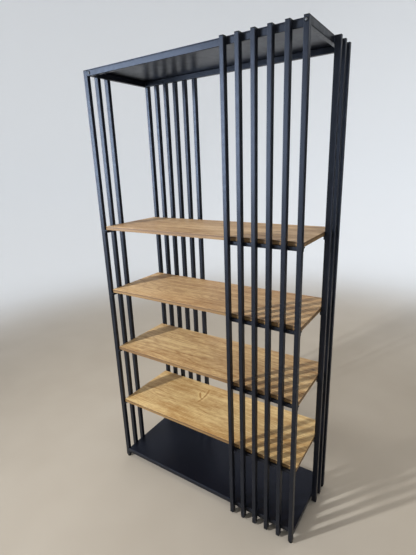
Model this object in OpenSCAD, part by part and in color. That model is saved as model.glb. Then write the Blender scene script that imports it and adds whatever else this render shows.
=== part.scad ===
// Bookcase of welded steel tube with four loose wood shelves.
// Upright slats stand in four corner groups: six in front at the right, six behind at the
// left, three on the left towards the front and three on the right towards the back. They
// join a top and a base frame, each covered by a steel sheet. Small angles welded to the
// inner side of each group carry the shelves.
// +X is right, +Y is the back and +Z is up. The origin is on the floor, under the middle of
// the case. Half a turn about Z brings the steelwork back onto itself.

/* [Case] */
// Width over the side slats
case_w = 900; // [700:10:1200]
// Depth over the front and back slats
case_d = 360; // [320:10:500]
// Height from the floor to the top
case_h = 1750; // [1600:10:2200]

/* [Steel tube] */
// Narrow face of every tube
tube_face = 15; // [15:1:20]
// Deep side of every tube
tube_deep = 20; // [20:1:30]
// Wall thickness of the tube
tube_wall = 1.2; // [0.9:0.1:1.5]
// Outside radius of the tube's corners
tube_radius = 2; // [1.6:0.1:2.5]

/* [Slats and frames] */
// Distance from one slat to the next, centre to centre
slat_pitch = 50.5; // [40:0.5:55]
// Height of the slats' lower ends above the floor
slat_lift = 9; // [6:1:15]
// Height of the base frame's underside above the floor
base_lift = 28; // [28:1:60]
// Thickness of the top and base sheets
sheet_t = 2; // [1.5:0.5:3]

/* [Shelves] */
// Height of the lowest shelf's top face
shelf_low = 330; // [280:5:380]
// Height from one shelf to the next
shelf_pitch = 277; // [200:1:300]
// Thickness of a shelf board
shelf_t = 15; // [12:1:20]
// Step from the frame's front face back to a shelf's front edge
shelf_inset = 8; // [5:1:9]
// Gap between a shelf's end and the side slats
shelf_gap = 1.5; // [1:0.5:3]
// Leg of the angles that carry the shelves
angle_leg = 12.7; // [12.7:0.1:20]
// Thickness of the angles' legs
angle_t = 3.2; // [2:0.1:3.2]

/* [Fittings] */
// Diameter of the round glide under each corner post
glide_d = 15; // [10:1:15]
// Thickness of the caps' and feet's flanges, outside the tube
cap_t = 2; // [1.5:0.5:3]
// Diameter of the corner screws' threads
screw_d = 4; // [3:0.5:5]
// Distance from the rail's free end to its screw
screw_inset = 12; // [10:1:20]

/* [Hidden] */
shelf_count = 4;
long_group = 6;
short_group = 3;

frame_w = case_w - 2 * tube_deep;
frame_d = case_d - 2 * tube_deep;
tube_top = case_h - cap_t;
tube_bottom = slat_lift + cap_t;
rail_top = case_h - sheet_t;
screw_z = rail_top - tube_deep / 2;
least_radius = 0.3;
insert_gap = 0.2;
// Short enough to end above the corner screws
cap_insert = 6;
foot_insert = 16;
hole_d = screw_d + 0.4;
washer_d = 11;
washer_t = 1;
head_d = 7;
head_h = 2.2;
recess_d = 3.4;
recess_h = 1.2;
// Each screw in front: its place across and in depth, and its length under the washer
FRONT_SCREWS = [
    [-frame_w / 2 + screw_inset, -frame_d / 2, 10],
    [frame_w / 2 - tube_face / 2, -case_d / 2, tube_deep + 8]
];

steel = "#262a30";
board = "#c79c5e";
plastic = "#121315";
zinc = "#b9bcc0";

FRAME_SIDES = ["front", "back", "left", "right"];

// ---- placing ----

// Half a turn about Z takes the front to the back and the left to the right
module turned(side) {
    rotate([0, 0, side == "back" || side == "right" ? 180 : 0])
        children();
}

// Axis of a slat in the long group, counted from the corner
module at_long_slat(i) {
    translate([frame_w / 2 - tube_face / 2 - (i - 1) * slat_pitch, -frame_d / 2 - tube_deep / 2, 0])
        children();
}

// Axis of a slat in the short group, counted from the corner
module at_short_slat(i) {
    translate([-frame_w / 2 - tube_deep / 2, -frame_d / 2 + tube_face / 2 + (i - 1) * slat_pitch, 0])
        rotate([0, 0, 90])
            children();
}

// A screw's place on the front, its head's side turned to +Z
module at_front_screw(s) {
    translate([s[0], s[1], screw_z])
        rotate([90, 0, 0])
            children();
}

// ---- shapes that repeat ----

module rounded_rectangle(x, y, r) {
    square([x - 2 * r, y], center = true);
    square([x, y - 2 * r], center = true);
    for (sx = [-1, 1], sy = [-1, 1])
        translate([sx * (x / 2 - r), sy * (y / 2 - r)])
            circle(r, $fn = 32);
}

module tube_section() {
    difference() {
        rounded_rectangle(tube_face, tube_deep, tube_radius);
        rounded_rectangle(
            tube_face - 2 * tube_wall,
            tube_deep - 2 * tube_wall,
            max(tube_radius - tube_wall, least_radius)
        );
    }
}

module slat() {
    translate([0, 0, tube_bottom])
        linear_extrude(tube_top - tube_bottom)
            tube_section();
}

// Holes for the front screws, from just outside the tubes to past the screws' tips
module front_screw_holes() {
    for (s = FRONT_SCREWS)
        at_front_screw(s)
            translate([0, 0, -s[2] - 1])
                cylinder(h = s[2] + 2, d = hole_d, $fn = 32);
}

// A rail along X with mitred ends, its outer face towards -Y
module rail(length) {
    over = 1;
    intersection() {
        rotate([90, 0, 90])
            linear_extrude(length + 2 * over, center = true)
                tube_section();
        linear_extrude(tube_deep + 2 * over, center = true)
            polygon([
                [-length / 2 - over, -tube_face / 2 - over],
                [length / 2 + over, -tube_face / 2 - over],
                [length / 2 - tube_face - over, tube_face / 2 + over],
                [-length / 2 + tube_face + over, tube_face / 2 + over]
            ]);
    }
}

module long_rail(top) {
    translate([0, -frame_d / 2 + tube_face / 2, top - tube_deep / 2])
        rail(frame_w);
}

module short_rail(top) {
    translate([-frame_w / 2 + tube_face / 2, 0, top - tube_deep / 2])
        rotate([0, 0, -90])
            rail(frame_d);
}

module sheet(bottom) {
    translate([0, 0, bottom])
        linear_extrude(sheet_t)
            rounded_rectangle(frame_w, frame_d, tube_radius);
}

// An angle along X: one leg hangs at y = 0, the other lies at the top, towards +Y
module angle(length) {
    rotate([90, 0, 90])
        linear_extrude(length)
            polygon([
                [0, 0],
                [angle_leg, 0],
                [angle_leg, -angle_t],
                [angle_t, -angle_t],
                [angle_t, -angle_leg],
                [0, -angle_leg]
            ]);
}

// A push-in cap for the upper end of a tube, its flange standing on z = 0
module end_cap(insert) {
    inset = tube_wall + insert_gap;
    linear_extrude(cap_t)
        rounded_rectangle(tube_face, tube_deep, tube_radius);
    translate([0, 0, -insert])
        linear_extrude(insert)
            rounded_rectangle(tube_face - 2 * inset, tube_deep - 2 * inset, max(tube_radius - inset, least_radius));
}

module upside_down() {
    rotate([180, 0, 0])
        children();
}

// ---- the pieces ----

module top_sheet() {
    color(steel) sheet(rail_top);
}

module base_sheet() {
    color(steel) sheet(base_lift + tube_deep);
}

module top_rail(side) {
    color(steel)
        turned(side)
            if (side == "front" || side == "back")
                difference() {
                    long_rail(rail_top);
                    front_screw_holes();
                }
            else
                short_rail(rail_top);
}

module base_rail(side) {
    color(steel)
        turned(side)
            if (side == "front" || side == "back")
                long_rail(base_lift + tube_deep);
            else
                short_rail(base_lift + tube_deep);
}

module long_group_slat(side, i) {
    color(steel)
        turned(side)
            difference() {
                at_long_slat(i)
                    slat();
                if (i == 1)
                    front_screw_holes();
            }
}

module short_group_slat(side, i) {
    color(steel)
        turned(side)
            at_short_slat(i)
                slat();
}

module shelf_angle(level, side) {
    under = shelf_low + (level - 1) * shelf_pitch - shelf_t;
    long_span = (long_group - 1) * slat_pitch + tube_face;
    short_span = (short_group - 1) * slat_pitch + tube_face;
    color(steel)
        turned(side)
            if (side == "front" || side == "back")
                translate([frame_w / 2 - long_span, -frame_d / 2, under])
                    angle(long_span);
            else
                translate([-frame_w / 2, -frame_d / 2 + short_span, under])
                    rotate([0, 0, -90])
                        angle(short_span);
}

module shelf(level) {
    width = frame_w - 2 * shelf_gap;
    depth = frame_d - 2 * shelf_inset;
    color(board)
        translate([-width / 2, -depth / 2, shelf_low + (level - 1) * shelf_pitch - shelf_t])
            cube([width, depth, shelf_t]);
}

// Foot of a corner post: an insert, a flange under the tube and a round glide
module foot() {
    chamfer = 1;
    translate([0, 0, tube_bottom])
        upside_down()
            end_cap(foot_insert);
    rotate_extrude($fn = 48)
        polygon([
            [0, 0],
            [glide_d / 2 - chamfer, 0],
            [glide_d / 2, chamfer],
            [glide_d / 2, slat_lift],
            [0, slat_lift]
        ]);
}

module post_foot(side) {
    color(plastic)
        turned(side)
            if (side == "front" || side == "back")
                at_long_slat(1)
                    foot();
            else
                at_short_slat(1)
                    foot();
}

module top_end_caps() {
    color(plastic)
        for (side = ["front", "back"])
            turned(side) {
                for (i = [1 : long_group])
                    at_long_slat(i)
                        translate([0, 0, tube_top])
                            end_cap(cap_insert);
                for (i = [1 : short_group])
                    at_short_slat(i)
                        translate([0, 0, tube_top])
                            end_cap(cap_insert);
            }
}

module lower_end_caps() {
    color(plastic)
        for (side = ["front", "back"])
            turned(side) {
                for (i = [2 : long_group])
                    at_long_slat(i)
                        translate([0, 0, tube_bottom])
                            upside_down()
                                end_cap(cap_insert);
                for (i = [2 : short_group])
                    at_short_slat(i)
                        translate([0, 0, tube_bottom])
                            upside_down()
                                end_cap(cap_insert);
            }
}

// A screw along Z with its head outside, standing on its washer
module screw(length) {
    translate([0, 0, -length])
        cylinder(h = length + washer_t + 0.3, d = screw_d, $fn = 32);
    difference() {
        translate([0, 0, washer_t])
            rotate_extrude($fn = 48)
                polygon(concat(
                    [[0, 0]],
                    [for (a = [0 : 15 : 90]) [head_d / 2 * cos(a), head_h * (0.3 + 0.7 * sin(a))]]
                ));
        translate([0, 0, washer_t + head_h - recess_h])
            cylinder(h = recess_h + 1, d = recess_d, $fn = 6);
    }
}

module washer() {
    difference() {
        cylinder(h = washer_t, d = washer_d, $fn = 48);
        translate([0, 0, -1])
            cylinder(h = washer_t + 2, d = hole_d, $fn = 32);
    }
}

module corner_screws() {
    color(zinc)
        for (side = ["front", "back"])
            turned(side)
                for (s = FRONT_SCREWS)
                    at_front_screw(s)
                        screw(s[2]);
}

module screw_washers() {
    color(plastic)
        for (side = ["front", "back"])
            turned(side)
                for (s = FRONT_SCREWS)
                    at_front_screw(s)
                        washer();
}

top_sheet();
base_sheet();
for (side = FRAME_SIDES) {
    top_rail(side);
    base_rail(side);
}
for (side = ["front", "back"], i = [1 : long_group])
    long_group_slat(side, i);
for (side = ["left", "right"], i = [1 : short_group])
    short_group_slat(side, i);
for (level = [1 : shelf_count], side = FRAME_SIDES)
    shelf_angle(level, side);
for (level = [1 : shelf_count])
    shelf(level);
for (side = FRAME_SIDES)
    post_foot(side);
top_end_caps();
lower_end_caps();
corner_screws();
screw_washers();
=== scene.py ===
import math
import random

import bpy
from mathutils import Matrix, Vector


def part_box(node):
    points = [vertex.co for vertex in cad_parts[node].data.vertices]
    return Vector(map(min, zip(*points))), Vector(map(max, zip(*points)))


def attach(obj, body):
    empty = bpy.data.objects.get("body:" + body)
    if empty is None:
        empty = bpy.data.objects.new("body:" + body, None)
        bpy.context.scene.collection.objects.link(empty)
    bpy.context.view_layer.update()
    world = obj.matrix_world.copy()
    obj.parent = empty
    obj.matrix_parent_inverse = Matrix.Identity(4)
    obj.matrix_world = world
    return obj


# Looks of the slatted steel bookcase with loose wood shelves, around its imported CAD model.
# Metres, in the model's own frame: +X is right, +Y is the back, +Z is up, the origin on the floor.

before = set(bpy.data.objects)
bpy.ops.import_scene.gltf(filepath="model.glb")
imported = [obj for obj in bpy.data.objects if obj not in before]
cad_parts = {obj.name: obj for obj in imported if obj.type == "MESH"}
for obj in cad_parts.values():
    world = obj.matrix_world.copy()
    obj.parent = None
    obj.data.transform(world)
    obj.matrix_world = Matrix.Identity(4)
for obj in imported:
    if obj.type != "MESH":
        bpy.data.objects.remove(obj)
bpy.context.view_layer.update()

SHELVES = sorted(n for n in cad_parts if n.startswith("shelf_") and n.count("_") == 1)
ANGLES = sorted(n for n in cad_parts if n.endswith("_angle"))
SLATS = sorted(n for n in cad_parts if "_slat_" in n)
RAILS = sorted(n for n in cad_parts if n.endswith("_rail"))
SHEETS = sorted(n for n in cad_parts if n.endswith("_sheet"))
PLASTIC = sorted(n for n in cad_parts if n.endswith(("_caps", "_foot", "_washers")))


# ---- material graphs ----

class Finish:
    """A new material; each call adds one node to it and returns that node's output."""

    def __init__(self, name, roughness, metallic=0.0, specular=0.5):
        self.material = bpy.data.materials.new(name)
        self.material.use_nodes = True
        self.tree = self.material.node_tree
        self.shader = self.tree.nodes["Principled BSDF"]
        self.shader.inputs["Roughness"].default_value = roughness
        self.shader.inputs["Metallic"].default_value = metallic
        self.shader.inputs["Specular IOR Level"].default_value = specular
        coordinates = self.tree.nodes.new("ShaderNodeTexCoord")
        self.place = coordinates.outputs["Object"]
        self.normal = coordinates.outputs["Normal"]

    def feed(self, socket, value):
        if isinstance(value, bpy.types.NodeSocket):
            self.tree.links.new(value, socket)
        else:
            socket.default_value = value

    def set(self, socket, value):
        self.feed(self.shader.inputs[socket], value)

    def math(self, operation, a, b=0.0):
        node = self.tree.nodes.new("ShaderNodeMath")
        node.operation = operation
        self.feed(node.inputs[0], a)
        self.feed(node.inputs[1], b)
        return node.outputs[0]

    def plus(self, a, b):
        return self.math("ADD", a, b)

    def times(self, a, b):
        return self.math("MULTIPLY", a, b)

    def vector(self, operation, a, b):
        node = self.tree.nodes.new("ShaderNodeVectorMath")
        node.operation = operation
        self.feed(node.inputs[0], a)
        self.feed(node.inputs[1], b)
        return node.outputs[0]

    def split(self, vector):
        node = self.tree.nodes.new("ShaderNodeSeparateXYZ")
        self.feed(node.inputs[0], vector)
        return node.outputs

    def noise(self, vector, frequency, detail=2.0, roughness=0.5):
        """Noise from 0 to 1; frequency is in waves per metre, one number or one for each axis."""
        if isinstance(frequency, tuple):
            vector, frequency = self.vector("MULTIPLY", vector, frequency), 1.0
        node = self.tree.nodes.new("ShaderNodeTexNoise")
        self.feed(node.inputs["Vector"], vector)
        node.inputs["Scale"].default_value = frequency
        node.inputs["Detail"].default_value = detail
        node.inputs["Roughness"].default_value = roughness
        return node.outputs["Fac"]

    def random_of(self, value):
        node = self.tree.nodes.new("ShaderNodeTexWhiteNoise")
        node.noise_dimensions = "1D"
        self.feed(node.inputs["W"], value)
        return node.outputs["Value"]

    def remap(self, value, low, high, new_low=0.0, new_high=1.0):
        """Value eased from low..high to new_low..new_high; low may be the larger, which turns it round."""
        node = self.tree.nodes.new("ShaderNodeMapRange")
        node.interpolation_type = "SMOOTHSTEP"
        self.feed(node.inputs["Value"], value)
        node.inputs["From Min"].default_value = low
        node.inputs["From Max"].default_value = high
        node.inputs["To Min"].default_value = new_low
        node.inputs["To Max"].default_value = new_high
        return node.outputs["Result"]

    def ramp(self, value, stops):
        """A colour ramp through (position, colour) stops; a colour may be one grey level."""
        node = self.tree.nodes.new("ShaderNodeValToRGB")
        self.feed(node.inputs["Fac"], value)
        elements = node.color_ramp.elements
        while len(elements) < len(stops):
            elements.new(0.5)
        for element, (position, colour) in zip(elements, stops):
            element.position = position
            element.color = (*colour, 1.0) if isinstance(colour, tuple) else (colour, colour, colour, 1.0)
        return node.outputs["Color"]

    def clouds(self, value, low_colour, high_colour):
        """The colour of a noise: it drifts between two colours over the noise's usual span."""
        return self.ramp(value, [(0.3, low_colour), (0.7, high_colour)])

    def drift(self, value, low, high):
        """A number that follows a noise between low and high over the noise's usual span."""
        return self.remap(value, 0.3, 0.7, low, high)

    def blend(self, share, a, b):
        node = self.tree.nodes.new("ShaderNodeMix")
        node.data_type = "RGBA"
        self.feed(node.inputs[0], share)
        for socket, colour in ((node.inputs[6], a), (node.inputs[7], b)):
            self.feed(socket, (*colour, 1.0) if isinstance(colour, tuple) else colour)
        return node.outputs[2]

    def bump(self, height, distance, under=None):
        """Relief of distance metres on the surface, or on another relief under it."""
        node = self.tree.nodes.new("ShaderNodeBump")
        node.inputs["Strength"].default_value = 1.0
        node.inputs["Distance"].default_value = distance
        self.feed(node.inputs["Height"], height)
        if under:
            self.feed(node.inputs["Normal"], under)
        return node.outputs[0]


# ---- coated steel, plastic and zinc ----

# Painted reflection colour: the blue tint that each black coat gives to what it reflects stands in for the
# blue window light in its reflections
TUBE_PAINTED_TINT = (0.785, 0.845, 1.0, 1.0)
SHEET_PAINTED_TINT = (0.64, 0.68, 0.90, 1.0)


def powder_coat():
    """Satin black powder coat: a fine orange peel and a slow drift in tone and gloss."""
    f = Finish("black_powder_coat", roughness=0.4, specular=0.3)
    tone = f.noise(f.place, 14.0, detail=3.0)
    f.set("Base Color", f.clouds(tone, (0.0042, 0.0050, 0.0078), (0.0068, 0.0080, 0.0118)))
    f.set("Roughness", f.drift(f.noise(f.place, 55.0, detail=4.0), 0.31, 0.39))
    peel = f.bump(f.noise(f.place, 900.0, detail=2.0), 0.00006)
    f.set("Normal", f.bump(f.noise(f.place, 260.0, detail=1.0), 0.00005, under=peel))
    # Painted reflection colour: the coat's reflections are tinted blue like window light
    f.shader.inputs["Specular Tint"].default_value = TUBE_PAINTED_TINT
    return f.material


def sheet_coat():
    """The coat on the two sheets: smoother, over the slight waves of sheet metal."""
    f = Finish("black_sheet_coat", roughness=0.32, specular=0.3)
    tone = f.noise(f.place, 5.0, detail=3.0)
    f.set("Base Color", f.clouds(tone, (0.0020, 0.0025, 0.0052), (0.0034, 0.0042, 0.0082)))
    f.set("Roughness", f.drift(f.noise(f.place, 30.0, detail=5.0), 0.30, 0.36))
    waves = f.bump(f.noise(f.place, 5.5, detail=1.0), 0.0002)
    f.set("Normal", f.bump(f.noise(f.place, 500.0, detail=1.0), 0.000012, under=waves))
    # Painted reflection colour: the sheet's reflections are tinted blue like window light
    f.shader.inputs["Specular Tint"].default_value = SHEET_PAINTED_TINT
    return f.material


def black_plastic():
    """Moulded plastic: matt, with a fine spark-eroded texture."""
    f = Finish("black_moulded_plastic", roughness=0.6, specular=0.1)
    f.set("Base Color", f.clouds(f.noise(f.place, 90.0), 0.003, 0.006))
    f.set("Roughness", f.drift(f.noise(f.place, 300.0), 0.52, 0.66))
    f.set("Normal", f.bump(f.noise(f.place, 1500.0, detail=3.0), 0.00005))
    return f.material


def zinc():
    """Dulled zinc plating with a slightly clouded finish."""
    f = Finish("zinc_plating", roughness=0.3, metallic=1.0)
    f.set("Base Color", f.clouds(f.noise(f.place, 400.0), (0.10, 0.099, 0.097), (0.16, 0.158, 0.155)))
    f.set("Roughness", f.drift(f.noise(f.place, 900.0), 0.46, 0.60))
    f.set("Normal", f.bump(f.noise(f.place, 1800.0), 0.00003))
    return f.material


# ---- shelf wood ----

RING_SPACING = 0.0085
# The pith lies PITH_HEIGHT above the board's top face, less a noise from 0 to 1 times PITH_DIP, and
# PITH_FORWARD in front of the board's middle, give or take half of PITH_SWAY
PITH_HEIGHT = 0.045
PITH_DIP = 0.22
PITH_FORWARD = 0.03
PITH_SWAY = 0.16
# The depths under the top face over which the dark line in the edge faces comes in and goes out
DARK_LINE_IN = (0.0014, 0.0024)
DARK_LINE_OUT = (0.0064, 0.0052)

PORE_BROWN = (0.20, 0.10, 0.04)
KNOT_BROWN = (0.07, 0.035, 0.018)
# Edge face tones: the wood's own edge colour, darkened partly as painted shade
EDGE_PALE_SHADED = (0.245, 0.146, 0.052)
EDGE_DARK_SHADED = (0.155, 0.083, 0.028)
DARK_LINE_BROWN = (0.120, 0.062, 0.022)


def bell(f, value, width):
    """1 where value is 0, falling smoothly to nothing about two widths away."""
    return f.math("EXPONENT", f.times(f.math("POWER", f.times(value, 1 / width), 2.0), -1.0))


def knot_bulge(f, x, y, knots):
    """How far each knot pushes the year rings aside, in metres, and how much of a dark knot shows."""
    push, dark = 0.0, 0.0
    for knot_x, knot_y, reach_x, reach_y, rise, core in knots:
        along, across = f.plus(x, -knot_x), f.plus(y, -knot_y)
        bulge = f.times(bell(f, along, reach_x), bell(f, across, reach_y))
        push = f.plus(f.times(bulge, rise), push)
        if core:
            spot = f.times(bell(f, along, 1.6 * core), bell(f, across, core))
            dark = f.plus(spot, dark)
    return push, dark


def branch_mark(f, x, y, start, end, bow):
    """A bowed line where the grain turns round an old branch: dark, with a pale border."""
    line_width, border_width, border_weight = 0.0045, 0.012, -0.40
    step = Vector(end) - Vector(start)
    ahead, beside = step / step.length_squared, Vector((-step.y, step.x)) / step.length
    share = f.plus(f.times(x, ahead.x), f.plus(f.times(y, ahead.y), -ahead.dot(Vector(start))))
    off = f.plus(f.times(x, beside.x), f.plus(f.times(y, beside.y), -beside.dot(Vector(start))))
    arch = f.times(f.times(share, f.plus(1.0, f.times(share, -1.0))), 4 * bow)
    off = f.plus(off, f.times(arch, -1.0))
    line = f.plus(bell(f, off, line_width), f.times(bell(f, off, border_width), border_weight))
    return f.times(line, f.times(f.remap(share, -0.05, 0.25), f.remap(share, 1.05, 0.75)))


def late_wood(f, grain, y, z, top, push):
    """The dark late wood of the year rings, which run round a bent pith along X."""
    bend = f.noise(grain, (1.5, 0.6, 0.6), detail=2.0)
    sway = f.noise(grain, (2.4, 1.5, 1.5), detail=3.0)
    depth = f.plus(f.plus(f.times(bend, PITH_DIP), -PITH_HEIGHT), f.plus(z, -top))
    across = f.plus(f.plus(y, PITH_FORWARD), f.times(f.plus(sway, -0.5), PITH_SWAY))
    radius = f.math("SQRT", f.plus(f.math("POWER", across, 2.0), f.math("POWER", depth, 2.0)))
    ragged = f.times(f.noise(grain, (7.0, 110.0, 110.0), detail=3.0), 0.6)
    rings = f.plus(f.times(f.plus(radius, push), 1 / RING_SPACING), ragged)
    late = f.ramp(f.math("FRACT", rings), [(0.0, 0.15), (0.45, 0.0), (0.82, 1.0), (1.0, 0.15)])
    return f.times(late, f.remap(f.random_of(f.math("FLOOR", rings)), 0.0, 1.0, 0.25, 0.9))


def edge_colour_and_shade(f, z, top, streak):
    """The colour of the board's edge faces: tan brown, darkened partly as painted shade, with a darker
    line a little under the top face.
    """
    below = f.plus(top, f.times(z, -1.0))
    dark_line = f.times(f.remap(below, *DARK_LINE_IN), f.remap(below, *DARK_LINE_OUT))
    # The edge tone, partly painted shade
    core = f.blend(f.remap(streak, 0.35, 0.65), EDGE_PALE_SHADED, EDGE_DARK_SHADED)
    return f.blend(dark_line, core, DARK_LINE_BROWN)


def shelf_wood(name, log, knots, marks, light, dark):
    """Oiled honey-coloured board, grain along X: log picks the piece of wood, as a shift of its noises."""
    f = Finish(name, roughness=0.55, specular=0.4)
    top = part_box(name)[1].z
    x, y, z = f.split(f.place)
    grain = f.vector("ADD", f.place, (3.1 * log, 1.7 * log, 0.9 * log - top))
    push, knot = knot_bulge(f, x, y, knots)
    late = late_wood(f, grain, y, z, top, push)

    streak = f.noise(grain, (3.0, 42.0, 42.0), detail=5.0, roughness=0.65)
    fibre = f.noise(grain, (14.0, 900.0, 900.0), detail=2.0)
    cloud = f.noise(grain, (3.0, 9.0, 9.0), detail=3.0)
    speck = f.noise(grain, (32.0, 95.0, 95.0), detail=4.0, roughness=0.75)
    tone = f.plus(f.times(late, 0.42), f.times(f.remap(streak, 0.34, 0.66), 0.40))
    tone = f.plus(tone, f.times(f.remap(cloud, 0.36, 0.64), 0.34))
    tone = f.plus(tone, f.times(f.plus(speck, -0.5), 1.5))
    tone = f.plus(tone, f.times(f.plus(fibre, -0.5), 0.35))
    for start, end, bow in marks:
        tone = f.plus(tone, f.times(branch_mark(f, x, y, start, end, bow), 1.3))
    middle = tuple((a + b) / 2 for a, b in zip(light, dark))
    colour = f.ramp(tone, [(0.05, light), (0.45, middle), (0.95, dark)])
    pores = f.remap(f.noise(grain, (30.0, 1500.0, 1500.0), detail=1.0), 0.66, 0.74)
    colour = f.blend(f.times(pores, 0.35), colour, PORE_BROWN)
    colour = f.blend(knot, colour, KNOT_BROWN)

    # Faces that stand upright take the edge colour, which is partly painted shade
    upright = f.remap(f.math("ABSOLUTE", f.split(f.normal)[2]), 0.75, 0.45)
    f.set("Base Color", f.blend(upright, colour, edge_colour_and_shade(f, z, top, streak)))
    f.set("Roughness", f.plus(f.drift(streak, 0.48, 0.60), f.times(pores, 0.12)))
    relief = f.plus(f.times(fibre, 0.5), f.plus(f.times(late, 0.25), f.times(pores, -1.0)))
    f.set("Normal", f.bump(relief, 0.00012))
    return f.material


# ---- CAD nodes ----

# How far the sharp edges of the CAD nodes are rounded
WOOD_EDGE = 0.0010
ANGLE_EDGE = 0.0007
SHEET_EDGE = 0.0004
PLASTIC_EDGE = 0.0003


def dress(names, material):
    for name in names:
        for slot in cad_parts[name].material_slots:
            slot.material = material


def ease_edges(names, width, segments=2):
    """Rounds the sharp edges of CAD nodes inside their own outline."""
    for name in names:
        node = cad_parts[name]
        weld = node.modifiers.new("join_faces", "WELD")
        weld.merge_threshold = 0.00001
        bevel = node.modifiers.new("eased_edges", "BEVEL")
        bevel.limit_method = "ANGLE"
        bevel.angle_limit = math.radians(50)
        bevel.width = width
        bevel.segments = segments
        node.modifiers.new("even_shading", "WEIGHTED_NORMAL")


# ---- welds ----

FRAME_BEAD = 0.0017
ANGLE_BEAD = 0.0016
BEAD_SIDES = 8
BEAD_STEP = 0.0008
RIPPLE_PITCH = 0.0016
RIPPLE_HEIGHT = 0.10
BEAD_JITTER = 0.00006
# How far a bead stops short of the ends of its corner
FRAME_INSET = 0.0025
ANGLE_INSET = 0.0028
# A slat edge within this of the frame's outer face is flush with it and gets no bead
FLUSH = 0.001


def add_bead(vertices, faces, start, end, radius, jitter):
    """A rippled weld bead: a closed tube from start to end, half sunk into the corner that it fills."""
    axis = end - start
    rings = max(6, round(axis.length / BEAD_STEP))
    side = axis.normalized().orthogonal().normalized()
    lift = axis.normalized().cross(side)
    first = len(vertices)
    for i in range(rings + 1):
        share = i / rings
        taper = math.sqrt(max(0.0, 1 - (2 * share - 1) ** 6))
        wave = 1 + RIPPLE_HEIGHT * math.cos(2 * math.pi * share * axis.length / RIPPLE_PITCH)
        size = max(0.15, taper) * wave * (radius + jitter.uniform(-BEAD_JITTER, BEAD_JITTER))
        for k in range(BEAD_SIDES):
            turn = 2 * math.pi * k / BEAD_SIDES
            spoke = side * math.cos(turn) + lift * math.sin(turn)
            vertices.append(start + axis * share + spoke * size)
    add_tube_faces(faces, first, rings, BEAD_SIDES)
    faces.append(tuple(first + k for k in reversed(range(BEAD_SIDES))))
    faces.append(tuple(first + rings * BEAD_SIDES + k for k in range(BEAD_SIDES)))


def add_tube_faces(faces, first, steps, sides, inward=False):
    """Four-sided faces between steps + 1 rings of vertices, counted from the index first."""
    for i in range(steps):
        a, b = first + i * sides, first + (i + 1) * sides
        for k in range(sides):
            n = (k + 1) % sides
            faces.append((a + k, b + k, b + n, a + n) if inward else (a + k, a + n, b + n, b + k))


def smooth_object(name, vertices, faces, material):
    """A new smooth-shaded mesh object in the scene."""
    mesh = bpy.data.meshes.new(name)
    mesh.from_pydata(vertices, [], faces)
    for polygon in mesh.polygons:
        polygon.use_smooth = True
    mesh.materials.append(material)
    thing = bpy.data.objects.new(name, mesh)
    bpy.context.scene.collection.objects.link(thing)
    return thing


def weld_piece(name, lines, radius, material):
    """One piece with a bead along each (start, end) line."""
    jitter = random.Random(name)
    vertices, faces = [], []
    for start, end in lines:
        add_bead(vertices, faces, start, end, radius, jitter)
    piece = smooth_object(name, [tuple(v) for v in vertices], faces, material)
    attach(piece, "case")


def slat_edges(name):
    """The two edges of a slat's inner face, as points at z = 0, without one flush with the frame's end."""
    low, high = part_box(name)
    frame_low, frame_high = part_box("top_front_rail")[0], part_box("top_back_rail")[1]
    if name.startswith(("front", "back")):
        y = high.y if name.startswith("front") else low.y
        points = [Vector((x, y, 0)) for x in (low.x, high.x)]
        return [p for p in points if frame_low.x + FLUSH < p.x < frame_high.x - FLUSH]
    x = high.x if name.startswith("left") else low.x
    points = [Vector((x, y, 0)) for y in (low.y, high.y)]
    return [p for p in points if frame_low.y + FLUSH < p.y < frame_high.y - FLUSH]


def rail_weld_lines(level):
    """Upright beads down both sides of every slat, over the height of the rails of one frame."""
    low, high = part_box(level + "_front_rail")
    bottom = Vector((0, 0, low.z + FRAME_INSET))
    top = Vector((0, 0, high.z - FRAME_INSET))
    return [(point + bottom, point + top) for name in SLATS for point in slat_edges(name)]


def angle_weld_lines(level):
    """Short beads under the hanging leg of each angle at one shelf, one across every slat."""
    lines = []
    for side in ("front", "back", "left", "right"):
        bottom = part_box("shelf_%d_%s_angle" % (level, side))[0].z
        for name in (n for n in SLATS if n.startswith(side)):
            low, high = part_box(name)
            inner = {"front": high.y, "back": low.y, "left": high.x, "right": low.x}[side]
            if side in ("front", "back"):
                inset = Vector((ANGLE_INSET, 0, 0))
                ends = Vector((low.x, inner, bottom)), Vector((high.x, inner, bottom))
            else:
                inset = Vector((0, ANGLE_INSET, 0))
                ends = Vector((inner, low.y, bottom)), Vector((inner, high.y, bottom))
            lines.append((ends[0] + inset, ends[1] - inset))
    return lines


def add_welds(material):
    weld_piece("top_frame_welds", rail_weld_lines("top"), FRAME_BEAD, material)
    weld_piece("base_frame_welds", rail_weld_lines("base"), FRAME_BEAD, material)
    for level in range(1, len(SHELVES) + 1):
        weld_piece("shelf_%d_angle_welds" % level, angle_weld_lines(level), ANGLE_BEAD, material)


# ---- stage, light and camera ----

FLOOR_RADIUS = 3.4
CURVE_RADIUS = 1.2
CURVE_STEPS = 12
WALL_HEIGHT = 6.5
STAGE_SIDES = 96


def stage_material():
    """A warm grey floor that turns into a pale wall farther out, which glows softly as painted light."""
    f = Finish("pale_studio_floor", roughness=0.7)
    x, y = f.split(f.place)[:2]
    radius = f.math("SQRT", f.plus(f.math("POWER", x, 2.0), f.math("POWER", y, 2.0)))
    floor = f.clouds(f.noise(f.place, 3.0), (0.375, 0.33, 0.27), (0.40, 0.355, 0.295))
    f.set("Base Color", f.blend(f.remap(radius, 2.2, 4.0), floor, (0.70, 0.72, 0.75)))
    # Painted light: the outer floor and the wall glow faintly bluish, to look brighter and to light the
    # scene
    f.set("Emission Color", (0.84, 0.92, 1.0, 1.0))
    f.set("Emission Strength", f.times(f.remap(radius, 1.2, 4.2), 0.20))
    return f.material


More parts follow.
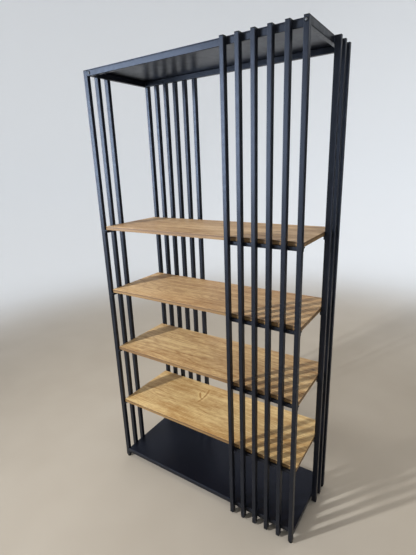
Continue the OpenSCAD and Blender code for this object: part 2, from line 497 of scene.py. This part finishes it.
def add_stage():
    """A round floor that curves up into a pale wall far behind, all the way round."""
    profile = [(FLOOR_RADIUS, 0.0)]
    for i in range(1, CURVE_STEPS + 1):
        turn = math.pi / 2 * i / CURVE_STEPS
        profile.append((FLOOR_RADIUS + CURVE_RADIUS * math.sin(turn), CURVE_RADIUS * (1 - math.cos(turn))))
    profile.append((FLOOR_RADIUS + CURVE_RADIUS, WALL_HEIGHT))
    vertices = [(0.0, 0.0, 0.0)]
    for radius, height in profile:
        for k in range(STAGE_SIDES):
            turn = 2 * math.pi * k / STAGE_SIDES
            vertices.append((radius * math.cos(turn), radius * math.sin(turn), height))
    faces = [(0, 1 + k, 1 + (k + 1) % STAGE_SIDES) for k in range(STAGE_SIDES)]
    add_tube_faces(faces, 1, len(profile) - 1, STAGE_SIDES, inward=True)
    smooth_object("studio", vertices, faces, stage_material())


def aim(thing, place, target):
    """Puts a lamp or card at place, turned to face target."""
    thing.location = place
    thing.rotation_mode = "QUATERNION"
    thing.rotation_quaternion = (Vector(target) - Vector(place)).to_track_quat("-Z", "Y")


def add_light(name, place, target, size, power, colour, glossy=True, diffuse=True, spread=180):
    """An area lamp; glossy and diffuse say which rays see it, spread is the angle it shines over."""
    light = bpy.data.lights.new(name, "AREA")
    light.shape = "RECTANGLE"
    light.size, light.size_y = size
    light.energy = power
    light.spread = math.radians(spread)
    light.color = colour
    lamp = bpy.data.objects.new(name, light)
    aim(lamp, place, target)
    lamp.visible_camera = False
    lamp.visible_glossy = glossy
    lamp.visible_diffuse = diffuse
    bpy.context.scene.collection.objects.link(lamp)


def add_black_flag(place, target, width, height):
    """A matt black card that only reflections see, as a studio uses to darken one side of dark metal."""
    mesh = bpy.data.meshes.new("black_flag")
    corners = [(x * width / 2, y * height / 2, 0.0) for x, y in ((-1, -1), (1, -1), (1, 1), (-1, 1))]
    mesh.from_pydata(corners, [], [(0, 1, 2, 3)])
    f = Finish("flag_velvet", roughness=1.0, specular=0.0)
    f.set("Base Color", f.clouds(f.noise(f.place, 40.0), 0.004, 0.008))
    mesh.materials.append(f.material)
    flag = bpy.data.objects.new("black_flag", mesh)
    aim(flag, place, target)
    flag.visible_camera = False
    flag.visible_diffuse = False
    flag.visible_shadow = False
    bpy.context.scene.collection.objects.link(flag)


def add_world(strength, colour):
    world = bpy.data.worlds.new("studio_air")
    world.use_nodes = True
    background = world.node_tree.nodes["Background"]
    background.inputs["Color"].default_value = (*colour, 1.0)
    background.inputs["Strength"].default_value = strength
    bpy.context.scene.world = world


def add_lights():
    """A narrow key lamp for the stripe shadows, two cards that the steel reflects, and soft fill."""
    add_light("strip_front_left", (-1.29, -2.28, 2.0), (0.0, 0.0, 0.9), size=(0.07, 0.9), power=30.0,
              colour=(0.96, 0.98, 1.0), glossy=False, spread=90)
    add_light("card_left", (-1.95, -2.6, 1.65), (0.0, 0.0, 1.35), size=(1.8, 1.5), power=200.0,
              colour=(0.68, 0.81, 1.0), diffuse=False)
    add_light("card_right", (3.2, -1.3, 1.4), (0.0, 0.0, 1.2), size=(0.9, 2.0), power=70.0,
              colour=(0.70, 0.82, 1.0), diffuse=False)
    add_light("soft_top", (0.0, 0.2, 3.9), (0.0, 0.0, 0.0), size=(3.0, 3.0), power=42.0,
              colour=(1.0, 0.94, 0.84))
    add_black_flag((1.9, 2.7, 1.1), (0.3, -0.2, 1.0), width=2.2, height=2.6)
    add_world(0.62, (1.0, 0.90, 0.78))


def add_camera():
    """The photo's viewpoint: a wide-angle view from the front right, looking down a little."""
    place = (0.8142, -1.2552, 1.3972)
    yaw, pitch, roll = math.radians(33.78), math.radians(-16.487), math.radians(-2.135)
    data = bpy.data.cameras.new("camera")
    data.sensor_width = 36.0
    data.lens = 24.91
    camera = bpy.data.objects.new("camera", data)
    turn = Matrix.Rotation(yaw, 4, "Z") @ Matrix.Rotation(math.pi / 2 + pitch, 4, "X")
    camera.matrix_world = Matrix.Translation(place) @ turn @ Matrix.Rotation(roll, 4, "Z")
    bpy.context.scene.collection.objects.link(camera)
    bpy.context.scene.camera = camera


# ---- the scene ----

# Each board: its log, its knots as (x, y, reach_x, reach_y, rise, core), its branch marks as
# (start, end, bow), and its light and dark tones
BOARDS = {
    "shelf_1": (1.0, [(-0.115, 0.050, 0.030, 0.050, 0.030, 0.0)],
                [((-0.119, 0.118), (-0.114, -0.008), 0.010), ((-0.146, 0.077), (-0.108, 0.030), -0.004)],
                (0.65, 0.475, 0.222), (0.335, 0.175, 0.050)),
    "shelf_2": (2.3, [(0.402, 0.080, 0.026, 0.012, 0.012, 0.0045)], [],
                (0.575, 0.405, 0.195), (0.255, 0.130, 0.044)),
    "shelf_3": (3.9, [], [], (0.56, 0.378, 0.187), (0.25, 0.122, 0.044)),
    "shelf_4": (5.2, [], [], (0.54, 0.366, 0.195), (0.24, 0.126, 0.050)),
}

coat = powder_coat()
dress(SLATS + RAILS + ANGLES, coat)
dress(SHEETS, sheet_coat())
dress(PLASTIC, black_plastic())
dress(["corner_screws"], zinc())
for shelf_name, look in BOARDS.items():
    dress([shelf_name], shelf_wood(shelf_name, *look))

ease_edges(SHELVES, WOOD_EDGE, segments=3)
ease_edges(ANGLES, ANGLE_EDGE)
ease_edges(SHEETS, SHEET_EDGE)
ease_edges(PLASTIC, PLASTIC_EDGE)

add_welds(coat)
add_stage()
add_lights()
add_camera()
bpy.context.scene.view_settings.view_transform = "Standard"
